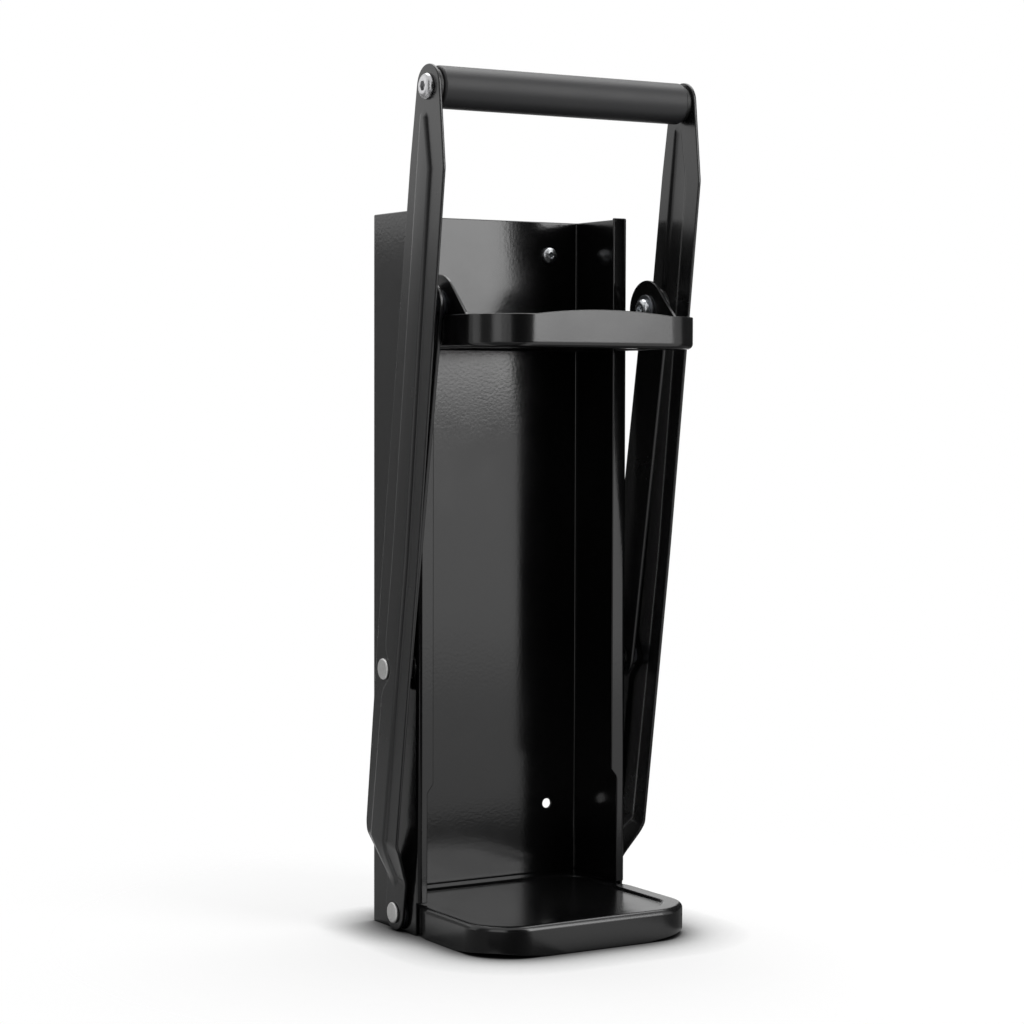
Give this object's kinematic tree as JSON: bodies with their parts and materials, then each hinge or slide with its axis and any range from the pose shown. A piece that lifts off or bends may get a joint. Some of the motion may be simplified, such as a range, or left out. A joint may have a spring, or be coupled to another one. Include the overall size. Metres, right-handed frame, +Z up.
{
  "type": "lever can crusher",
  "caption": "Wall-mounted can and bottle crusher: folded steel channel with a base pan, a press plate sliding on its lips, and long levers with links and a cross handle.",
  "frame": {"origin": "foot of the channel's flat back, on the centre line: the wall plane is y = 0, the surface that the crusher stands on is z = 0", "axes": "+Z up along the channel, -Y out of the wall to the front, +X to the right seen from the front"},
  "size_m": [0.1848, 0.1727, 0.5098],
  "materials": {
    "powder_coat": "satin black powder coat",
    "lever_coat": "satin black powder coat",
    "grip_plastic": "matte black",
    "rivet_steel": "satin",
    "zinc_plate": "bright zinc",
    "zinc_screw": "bright zinc",
    "chrome_bolt": "polished",
    "bare_steel": "drawn steel",
    "washer_nylon": "black nylon"
  },
  "bodies": {
    "frame": {"channel_body": "powder_coat", "base_pan": "powder_coat", "wall_screws": "zinc_screw", "pivot_rivet_right": "rivet_steel", "pivot_rivet_left": "rivet_steel", "pivot_washer_right": "zinc_plate", "pivot_washer_left": "zinc_plate"},
    "levers": {"lever_right": "lever_coat", "lever_left": "lever_coat", "handle_rod": "bare_steel", "handle_bolt_right": "chrome_bolt", "handle_bolt_left": "chrome_bolt", "grip_washer_right": "washer_nylon", "grip_washer_left": "washer_nylon", "link_rivet_right": "rivet_steel", "link_rivet_left": "rivet_steel", "link_spacer_right": "zinc_plate", "link_spacer_left": "zinc_plate"},
    "grip": {"handle_grip": "grip_plastic"},
    "press": {"press_plate": "powder_coat", "ear_plate_right": "powder_coat", "ear_plate_left": "powder_coat", "ear_bolt_right": "zinc_plate", "ear_bolt_left": "zinc_plate", "ear_washers_right": "zinc_plate", "ear_washers_left": "zinc_plate", "ear_spacer_right": "zinc_plate", "ear_spacer_left": "zinc_plate"},
    "link_right": {"link_right": "lever_coat", "ear_nut_right": "zinc_plate"},
    "link_left": {"link_left": "lever_coat", "ear_nut_left": "zinc_plate"}
  },
  "joints": [
    {"name": "lever_swing", "type": "hinge", "parent": "frame", "child": "levers", "pos_m": [0, -0.0345, 0.0107], "axis": [1, 0, 0], "range_deg": [0, 150]},
    {"name": "press_slide", "type": "slide", "parent": "frame", "child": "press", "axis": [0, 0, 1], "range_m": [-0.27948, 0]},
    {"name": "link_right_swing", "type": "hinge", "parent": "levers", "child": "link_right", "pos_m": [0.0775, -0.04423, 0.15915], "axis": [1, 0, 0], "range_deg": [-164.84, 0]},
    {"name": "link_left_swing", "type": "hinge", "parent": "levers", "child": "link_left", "pos_m": [-0.0775, -0.04423, 0.15915], "axis": [1, 0, 0], "range_deg": [-164.84, 0]},
    {"name": "grip_spin", "type": "hinge", "parent": "levers", "child": "grip", "pos_m": [0, -0.09613, 0.4969], "axis": [1, 0, 0], "continuous": true}
  ],
  "couplings": [
    {"joint": "press_slide", "follows": "lever_swing", "m_per_rad": -0.10675},
    {"joint": "link_right_swing", "follows": "lever_swing", "ratio": -1.0989},
    {"joint": "link_left_swing", "follows": "lever_swing", "ratio": -1.0989}
  ]
}
